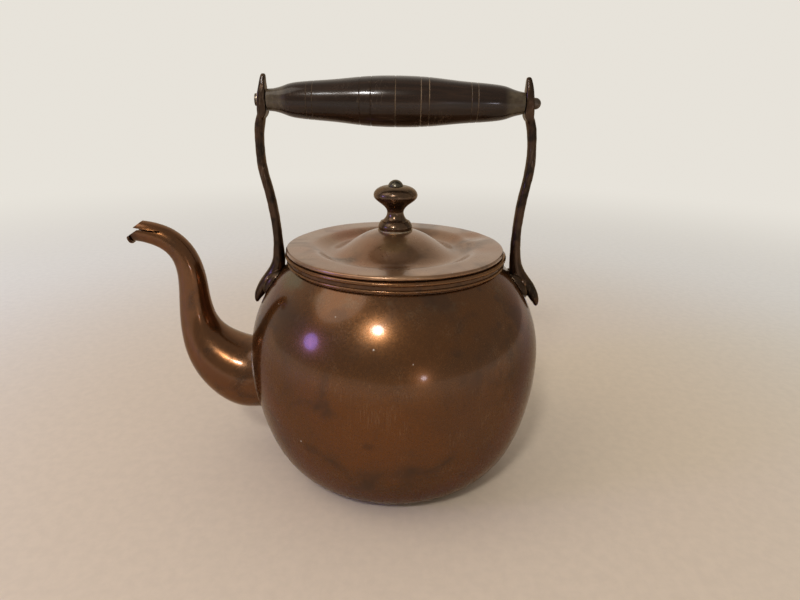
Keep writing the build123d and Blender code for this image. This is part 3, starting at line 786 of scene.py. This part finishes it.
def neckTurn(look, inset=0.0):  # how far up the shoulder's curve the neck starts, in degrees
    reach = look["belly"] - look["crown"]
    return math.degrees(math.acos((look["neck"] - inset - look["crown"]) / (reach - inset)))


def neckFoot(look):
    return look["bellyHeight"] + look["shoulderRise"] * math.sin(math.radians(neckTurn(look)))


def bodyOutline(look):
    belly, wall, neckTop = look["bellyHeight"], look["wall"], neckFoot(look) + look["neckRise"]

    def side(inset, count):
        reach, rise = look["belly"] - look["crown"] - inset, look["shoulderRise"] - inset
        bulge = look["belly"] - look["base"] - inset
        lower = bow((look["base"], belly), bulge, belly - inset, 270, 360, count)
        return joined(lower, bow((look["crown"], belly), reach, rise, 0, neckTurn(look, inset), count))

    outer, inner = side(0, 34), side(wall, 34)
    floor = straight((0, 0), outer[0], 14)
    floorInside = straight(inner[0], (0, wall), 14)
    outerEdge, innerEdge = (look["neck"], neckTop), (look["neck"] - wall, neckTop)
    rim = joined(straight(outer[-1], outerEdge, 3), straight(innerEdge, inner[-1], 3))
    return joined(floor, outer, rim, inner[::-1], floorInside)


def insideBody(spot):  # nearer the inner face of the wall than the outer one
    look = bodyLook
    belly, rise, halfWall = look["bellyHeight"], look["shoulderRise"], 0.55 * look["wall"]
    wide, up = math.hypot(spot.x, spot.y) / mm, spot.z / mm
    if up > belly + rise * 0.70:  # the neck and just under it
        return wide < look["neck"] - look["wall"] * 0.6
    if up < belly and wide <= look["base"]:
        return up > look["wall"] / 2
    middle, height = (look["crown"], rise) if up >= belly else (look["base"], belly)
    across = (wide - middle) / (look["belly"] - middle - halfWall)
    return across**2 + ((up - belly) / (height - halfWall)) ** 2 < 1


def makeBody():
    body = turnPiece("kettleBody", bodyOutline(bodyLook), finishes["body_copper"], bodyLook["dents"])
    bore = bodyLook["bore"]
    radius = bore["radius"] * mm
    turn = Matrix.Rotation(math.radians(bore["turn"]), 4, "Y")
    way = Matrix.Translation([x * mm for x in bore["middle"]]) @ turn
    sizes = {"segments": 48, "radius1": radius, "radius2": radius, "depth": bore["depth"] * mm, "matrix": way}
    cutter = blank("boreCutter")
    drill = bmesh.new()
    bmesh.ops.create_cone(drill, cap_ends=True, **sizes)
    drill.to_mesh(cutter.data)
    drill.free()
    hole = body.modifiers.new("bore", "BOOLEAN")
    hole.object = cutter
    hole.operation = "DIFFERENCE"
    settle(body)
    bpy.data.objects.remove(cutter)
    mark(body, "inside", [insideBody(v.co) for v in body.data.vertices])
    hand(body, "body_shell")


ringLook = {
    "top": 133.39,
    "height": 6.1,
    "bead": 1.15,
    "reach": 63.2,
    "footBead": 0.9,
    "footReach": 62.4,
    "wall": 0.7,
    "neck": 60.8,
    "inner": 59.8,
    "dents": {"Dent Depth": 0.00025, "Dent Scale": 22.0, "Seed": 8.0, "Steps Round": 192},
}


def ringOutline(look):
    top, neck, size, footSize = look["top"], look["neck"], look["bead"], look["footBead"]
    foot = top - look["height"]
    web = neck + look["wall"]
    upper = bow((look["reach"] - size, top - size), size, size, -100, 90, 16)
    lower = bow((look["footReach"] - footSize, foot + footSize), footSize, footSize, -90, 90, 12)
    between = [(web, foot + 2 * footSize), (web, upper[0][1])]
    seat = [(look["inner"], top - 2 * size), (neck, top - 2 * size), (neck, foot)]
    return joined([(neck, foot)], lower, between, upper, straight(upper[-1], (look["inner"], top), 3), seat)


lidLook = {
    "offset": -0.5,
    "radius": 62.2,
    "sheet": 0.7,
    "roll": 1.25,
    "top": 136.19,
    "crownTop": 145.09,
    "crownRadius": 9.5,
    "slope": -0.2,
    "middle": (22.0, 3.6),
    "trough": (39.5, -3.4),
    "troughEdge": 48.5,
    "stud": 2.2,
    "dents": {
        "Dent Depth": 0.0007, "Dent Scale": 21.0, "Dent Centre": (0, 0, -0.6),
        "Blow Spot": (0.0455, 0.023, 0.136), "Blow Reach": 0.013, "Blow Depth": 0.0014,
        "Seed": 5.0, "Steps Round": 160,
    },
}


def lidOutline(look):
    sheet, size = look["sheet"], look["roll"]
    roll = (look["radius"] - size, look["top"] - size)

    def face(drop):  # from the stud's hole out to the roll
        top, crown = look["top"] - drop, look["crownTop"] - drop
        points = [(look["crownRadius"], crown)]
        points += [(look[key][0], look["top"] + look[key][1] - drop) for key in ("middle", "trough")]
        bell = batten(points + [(look["troughEdge"], top)], 34, (1, look["slope"]), (1, 0))
        flat = straight((look["stud"], crown), (look["crownRadius"], crown), 4)
        return joined(flat, bell, straight((look["troughEdge"], top), (roll[0], top), 6))

    outerRoll = bow(roll, size, size, 90, -175, 22)
    innerRoll = bow(roll, size - sheet, size - sheet, -175, 90, 14)
    return joined(face(0), outerRoll, innerRoll, face(sheet)[::-1], [(look["stud"], look["crownTop"])])


lidPlace = Matrix.Translation((lidLook["offset"] * mm, 0, 0))

knobLook = {
    "bottom": 145.79,
    "height": 24.5,
    "foot": (9.3, 0),
    "footBulge": (9.7, 1.6),
    "footTop": (8.3, 4.4),
    "step": (7.5, 0.4),
    "waist": (4.7, 9.8),
    "throat": (9.9, 15.8),
    "ball": (12.4, 19.3),
    "cap": 4.3,
    "stud": 2.2,
    "dents": {"Dent Depth": 0.00012, "Dent Scale": 90.0, "Seed": 2.0, "Steps Round": 96},
}


def knobOutline(look):
    bottom, footUp = look["bottom"], look["footTop"][1]
    (ballReach, ballUp), (stepReach, stepRise) = look["ball"], look["step"]
    foot = batten([(look[key][0], bottom + look[key][1]) for key in ("foot", "footBulge", "footTop")], 12)
    step = [(stepReach, bottom + footUp), (stepReach, bottom + footUp + stepRise)]
    flank = step[1:] + [(look[key][0], bottom + look[key][1]) for key in ("waist", "throat", "ball")]
    cap = bow((look["cap"], bottom + ballUp), ballReach - look["cap"], look["height"] - ballUp, 0, 90, 16)
    hole = [(look["stud"], bottom + look["height"]), (look["stud"], bottom)]
    return joined(hole[1:], foot, step, batten(flank, 40, (-1, 0.5), (0, 1)), cap, hole)


gripShape = {
    "half": 68.55,
    "shift": -gripMiddle[0] / mm,
    "bore": 1.88,
    "end": 5.7,
    "endRound": 0.8,
    "line": [(0, 13.15), (17, 12.55), (34, 10.85), (51.5, 9.45), (58, 8.3), (62.3, 6.8), (66, 5.9)],
    "rings": [-46.9, -43.7, -18.9, -13.0, -0.15, 13.15, 17.45, 39.65, 43.15],
    "ringDust": [0.3, 0.3, 0.15, 0.12, 0.8, 1.0, 0.95, 0.55, 0.6],  # pale dust left in each ring
    "ringWidth": 0.62,
    "ringDepth": 0.26,
    "dents": {"Dent Depth": 0.00016, "Dent Scale": 45.0, "Seed": 4.0, "Steps Round": 96},
}


def gripOutline(look):
    turned = [(-x, r) for x, r in reversed(look["line"][1:])] + list(look["line"])
    side = batten([(x + look["shift"], r) for x, r in turned], 150)
    along, radius = np.array(side).T
    width = look["ringWidth"]
    places = set(np.round(along, 3))
    for ring in look["rings"]:  # each ring gets its own points, and the others near it go
        places -= {x for x in places if abs(x - ring) < width}
        places |= {ring - width / 2, ring - width * 0.28, ring, ring + width * 0.28, ring + width / 2}
    line = []
    for x in sorted(places):
        r = float(np.interp(x, along, radius))
        for ring in look["rings"]:
            r -= look["ringDepth"] * min(1.0, 1.5 * max(0.0, 1 - abs(x - ring) / (width / 2 + 1e-6)))
        line.append((x, r))
    half, end, rounding = look["half"], look["end"], look["endRound"]
    cut = 0.23 * rounding
    left = [(-half, look["bore"]), (-half, end - rounding), (-half + cut, end - cut), (-half + rounding, end)]
    right = [(-x, r) for x, r in reversed(left)]
    outline = joined(left, [p for p in line if abs(p[0]) < half - rounding - 0.3], right, left[:1])
    return [(r, x) for x, r in outline]


gripPlace = Matrix.Translation(gripMiddle) @ Matrix.Rotation(math.radians(90), 4, "Y")

turnedPieces = [  # piece, node, outline, finish, look, place, how far and how often its bends are spread
    ("neckRing", "neck_ring", ringOutline, "ring", ringLook, None, (0.0010, 1)),
    ("lidCover", "lid_cover", lidOutline, "lid_copper", lidLook, lidPlace, (0.0008, 2)),
    ("lidKnob", "knob", knobOutline, "knob_bronze", knobLook, lidPlace, (0.0008, 2)),
    ("turnedGrip", "grip", gripOutline, "grip_wood", gripShape, gripPlace, None),
]


def makeTurned():
    for name, node, outline, finish, look, where, bend in turnedPieces:
        piece = turnPiece(name, outline(look), finishes[finish], look["dents"], where)
        if bend:
            markBend(piece, *bend)
        else:
            markRings(piece, look)
        hand(piece, node)


def markRings(grip, look):
    reach = look["ringWidth"] * 0.4
    dusty = list(zip(look["rings"], look["ringDust"]))
    along = [(v.co.x - gripMiddle[0]) / mm for v in grip.data.vertices]
    mark(grip, "scribe", [max(dust if abs(x - ring) < reach else 0.0 for ring, dust in dusty) for x in along])


# Forged and raised pieces, worked up from copies of their CAD nodes.


def mergedCopy(node, name):
    source = bmesh.new()
    source.from_mesh(cadNodes[node].data)
    bmesh.ops.remove_doubles(source, verts=source.verts, dist=1e-6)
    piece = blank(name)
    source.to_mesh(piece.data)
    source.free()
    return piece


def swell(piece, scale, depth, seed):  # uneven surface, as a hammer leaves it
    mesh = piece.data
    shift = Vector((seed * 3.7, seed * 1.9, seed * 5.3))
    moved = np.array([v.co + v.normal * (noise.noise(v.co * scale + shift) * depth) for v in mesh.vertices])
    mesh.vertices.foreach_set("co", moved.ravel())
    mesh.update()


uprightLook = {
    "voxel": 0.00042,
    "smooth": 5,
    "swell": (95.0, 0.00028),  # scale, depth
    "ripple": (330.0, 0.00010),
    "bend": 0.0011,
}


def makeUprights(look):
    for seed, side in enumerate(("left", "right")):
        piece = mergedCopy(side + "_upright", side + "Upright")
        remesh = piece.modifiers.new("skin", "REMESH")
        remesh.mode = "VOXEL"
        remesh.voxel_size = look["voxel"]
        ease = piece.modifiers.new("ease", "SMOOTH")
        ease.factor = 0.5
        ease.iterations = look["smooth"]
        settle(piece, sharp=60)
        swell(piece, *look["swell"], seed + 1)
        swell(piece, *look["ripple"], seed + 5)
        piece.data.materials.append(finishes["handle_bronze"])
        markBend(piece, look["bend"], 3)
        hand(piece, side + "_upright")


# Beads along a path and riveted rows, by Geometry Nodes.


def buildBead():
    given, result = newGroup(
        "GeometryNodeTree", "beadAlong",
        {
            "Path": "Geometry", "Radius": 0.001, "Spacing": 0.0005, "Lump Depth": 0.15, "Lump Scale": 300.0,
            "Taper": 0.05, "Seed": 0.0, "Finish": "Material",
        },
        {"Mesh": "Geometry"},
    )
    tree = result.id_data
    course = out(tree, "GeometryNodeMeshToCurve", {"Mesh": given["Path"]})
    wires = {"Curve": course, "Length": given["Spacing"]}
    course = out(tree, "GeometryNodeResampleCurve", wires, mode="LENGTH")
    share = put(tree, "GeometryNodeSplineParameter").outputs["Factor"]
    nearest = maths("MINIMUM", share, minus(1.0, share))
    ends = maths("SQRT", ramp(nearest, -0.02, given["Taper"]))
    here = out(tree, "GeometryNodeInputPosition")
    lumps = uneven(here, given["Lump Scale"], given["Seed"], 2.0, 0.5)
    lumps = timesPlus(lumps, times(given["Lump Depth"], 2.0), 1.0)
    radius = times(times(given["Radius"], lumps), ends)
    ring = out(tree, "GeometryNodeCurvePrimitiveCircle", {"Resolution": 14, "Radius": 1.0})
    wires = {"Curve": course, "Profile Curve": ring, "Scale": radius, "Fill Caps": True}
    return closeTree(result, out(tree, "GeometryNodeCurveToMesh", wires), given["Finish"])


def buildRivetRow():
    given, result = newGroup(
        "GeometryNodeTree", "rivetRow",
        {
            "Spots": "Geometry", "Rivet": "Object", "Strike Depth": 0.0001, "Strike Scale": 700.0,
            "Seed": 0.0, "Finish": "Material",
        },
        {"Mesh": "Geometry"},
    )
    tree = result.id_data
    rivet = put(tree, "GeometryNodeObjectInfo", {"Object": given["Rivet"]}, transform_space="ORIGINAL")
    way = out(tree, "GeometryNodeInputNamedAttribute", {"Name": "way"}, data_type="FLOAT_VECTOR")
    turn = out(tree, "FunctionNodeAlignRotationToVector", {"Vector": way}, axis="Z")
    wires = {"Points": given["Spots"], "Instance": rivet.outputs["Geometry"], "Rotation": turn}
    row = out(tree, "GeometryNodeInstanceOnPoints", wires)
    row = out(tree, "GeometryNodeRealizeInstances", {"Geometry": row})  # so each head is struck its own way
    here = out(tree, "GeometryNodeInputPosition")
    wires = {"Scale": given["Strike Scale"], "W": given["Seed"], "Vector": here}
    cells = put(tree, "ShaderNodeTexVoronoi", wires, voronoi_dimensions="4D", feature="SMOOTH_F1")
    depth = times(minus(cells.outputs["Distance"], 0.4), given["Strike Depth"])
    push = scaled(out(tree, "GeometryNodeInputNormal"), depth)
    row = out(tree, "GeometryNodeSetPosition", {"Geometry": row, "Offset": push})
    return closeTree(result, row, given["Finish"])


lipLook = {
    "x": -152.05,
    "height": 141.9,
    "reach": 5.85,
    "half": 75,  # degrees each way from its lowest point
    "steps": 20,
    "bead": {
        "Radius": 0.0010, "Spacing": 0.0003, "Lump Depth": 0.16, "Lump Scale": 420.0,
        "Taper": 0.07, "Seed": 3.0,
    },
}
solderLook = {
    "steps": 120,
    "window": 4.0,  # degrees over which the CAD piece's points are averaged
    "bead": {
        "Radius": 0.00062, "Spacing": 0.0005, "Lump Depth": 0.45, "Lump Scale": 260.0,
        "Taper": -0.01, "Seed": 6.0,
    },
}
rivetLook = {
    "spread": 6.5,
    "drop": 12.19,
    "shank": 1.5,
    "head": (2.2, 3.1, 3.6, 0.8),  # reach, seat, crown, rise
    "tail": (2.8, -1.15, 1.2),  # reach, seat, rise
    "row": {"Strike Depth": 0.00022, "Strike Scale": 620.0, "Seed": 2.0},
}


def makeBead(name, points, edges, tree, look, finish):
    piece = blank(name, points, edges)
    return grow(piece, tree, {**look["bead"], "Finish": finishes[finish]}, sharp=70)


def makeBeads():
    bead = buildBead()
    steps, reach = lipLook["steps"], lipLook["reach"]
    turns = [math.radians(-90 + lipLook["half"] * k / steps) for k in range(-steps, steps + 1)]
    arc = [(reach * math.cos(a), lipLook["height"] + reach * math.sin(a)) for a in turns]
    points = [(lipLook["x"] * mm, y * mm, z * mm) for y, z in arc]
    lip = makeBead("spoutLip", points, [(k, k + 1) for k in range(2 * steps)], bead, lipLook, "spout_copper")
    markBend(lip, 0.0008)
    hand(lip, "spout_lip")
    spots = np.array([v.co for v in cadNodes["spout_solder"].data.vertices])  # the CAD piece gives its path
    middle = (spots.max(0) + spots.min(0)) / 2
    turns = np.degrees(np.arctan2(spots[:, 2] - middle[2], spots[:, 1] - middle[1]))
    points = []
    for angle in np.linspace(-180, 180, solderLook["steps"], endpoint=False):
        gap = (turns - angle + 180) % 360 - 180
        share = np.exp(-((gap / solderLook["window"]) ** 2))
        points.append(tuple((spots * share[:, None]).sum(0) / share.sum()))
    count = len(points)
    edges = [(k, (k + 1) % count) for k in range(count)]
    hand(makeBead("spoutSolder", points, edges, bead, solderLook, "solder"), "spout_solder")


def makeRivets():
    rows = buildRivetRow()
    headReach, headSeat, crown, rise = rivetLook["head"]
    tailReach, tailSeat, tailRise = rivetLook["tail"]
    tail = bow((0, tailSeat), tailReach, tailRise, -90, 0, 10)
    head = bow((0, crown), headReach, rise, 0, 90, 10)
    shank = [(rivetLook["shank"], tailSeat), (rivetLook["shank"], headSeat), (headReach, headSeat)]
    outline = joined(tail, shank, head)
    middle, shoulder, spread = bodyLook["crown"], bodyLook["shoulderRise"], rivetLook["spread"]
    across = bodyLook["belly"] - middle
    height = neckFoot(bodyLook) - rivetLook["drop"]
    up = (height - bodyLook["bellyHeight"]) / shoulder
    wide = middle + across * math.sqrt(1 - up**2)
    way = Vector(((wide - middle) / across**2, 0, up / shoulder)).normalized()  # square to the shoulder
    reach = math.sqrt(wide**2 - spread**2)
    for side, name in ((-1, "left"), (1, "right")):
        rivet = turnPiece("oneRivet", outline, None, {"Steps Round": 40})
        spots = [(side * reach * mm, y * mm, height * mm) for y in (-spread, spread)]
        row = blank(name + "FootRivets", spots)
        ways = row.data.attributes.new("way", "FLOAT_VECTOR", "POINT")
        ways.data.foreach_set("vector", [side * way.x, 0, way.z] * 2)
        values = {**rivetLook["row"], "Rivet": rivet, "Finish": finishes["rivet_copper"]}
        grow(row, rows, values, sharp=50)
        bpy.data.objects.remove(rivet)
        hand(row, name + "_foot_rivets")


def finishRest():  # the other pieces keep their CAD shape and get their finish
    shown = sorted(name for name, node in cadNodes.items() if not node.hide_render)
    for name in shown:
        node = cadNodes[name]
        if not node.data.materials:
            node.data.materials.append(None)
        for index in range(len(node.data.materials)):
            node.data.materials[index] = finishes[slotOf[name]]
    print("kettle: finishes on", ", ".join(shown))


def makeRoom(look):
    floor = blank("floor", [(-6, -6, 0), (6, -6, 0), (6, 6, 0), (-6, 6, 0)], [], [(0, 1, 2, 3)])
    finish, tree, shader, spot = newFinish("paleFloor")
    away = vectors("LENGTH", spot)
    tone = mixed(ramp(away, *look["floorFade"]), look["floorNear"], look["floorFar"])
    tone = shaded(tone, ramp(grainy(spot, 160.0, 0.0, 4, 0.6), 0.3, 0.7, 0.97, 1.03))
    wireUp(shader, {"Base Color": tone, "Roughness": look["floorRoughness"]})
    glow = out(tree, "ShaderNodeEmission", {"Color": look["backdrop"], "Strength": 1.0})
    gone = out(tree, "ShaderNodeMixShader", {0: ramp(away, *look["floorEnd"]), 1: shader.outputs[0], 2: glow})
    wireUp(next(node for node in tree.nodes if node.type == "OUTPUT_MATERIAL"), {"Surface": gone})
    floor.data.materials.append(finish)
    world = bpy.data.worlds.new("room")
    bpy.context.scene.world = world
    world.use_nodes = True
    tree = world.node_tree
    tree.nodes.clear()
    rays = tree.nodes.new("ShaderNodeLightPath").outputs
    seen = maths("MAXIMUM", rays["Is Camera Ray"], rays["Is Glossy Ray"])
    seen = maths("MAXIMUM", seen, rays["Is Transmission Ray"])
    fill = out(tree, "ShaderNodeBackground", {"Color": look["fill"], "Strength": look["fillLevel"]})
    way, edge, full, dim, bright = look["mirror"]
    facing = vectors("DOT_PRODUCT", tree.nodes.new("ShaderNodeTexCoord").outputs["Generated"], way)
    level = maths("MAXIMUM", rays["Is Camera Ray"], ramp(facing, edge, full, dim, bright))
    pale = out(tree, "ShaderNodeBackground", {"Color": look["backdrop"], "Strength": level})
    both = out(tree, "ShaderNodeMixShader", {0: seen, 1: fill, 2: pale})
    put(tree, "ShaderNodeOutputWorld", {"Surface": both})


# Everything in order.

setCamera(photoView)
setLamps(lamps)
makeBody()
makeTurned()
makeUprights(uprightLook)
makeBeads()
makeRivets()
finishRest()
makeRoom(roomLight)
bpy.context.scene.view_settings.view_transform = "Standard"
bpy.context.view_layer.update()
print("kettle: scene ready")
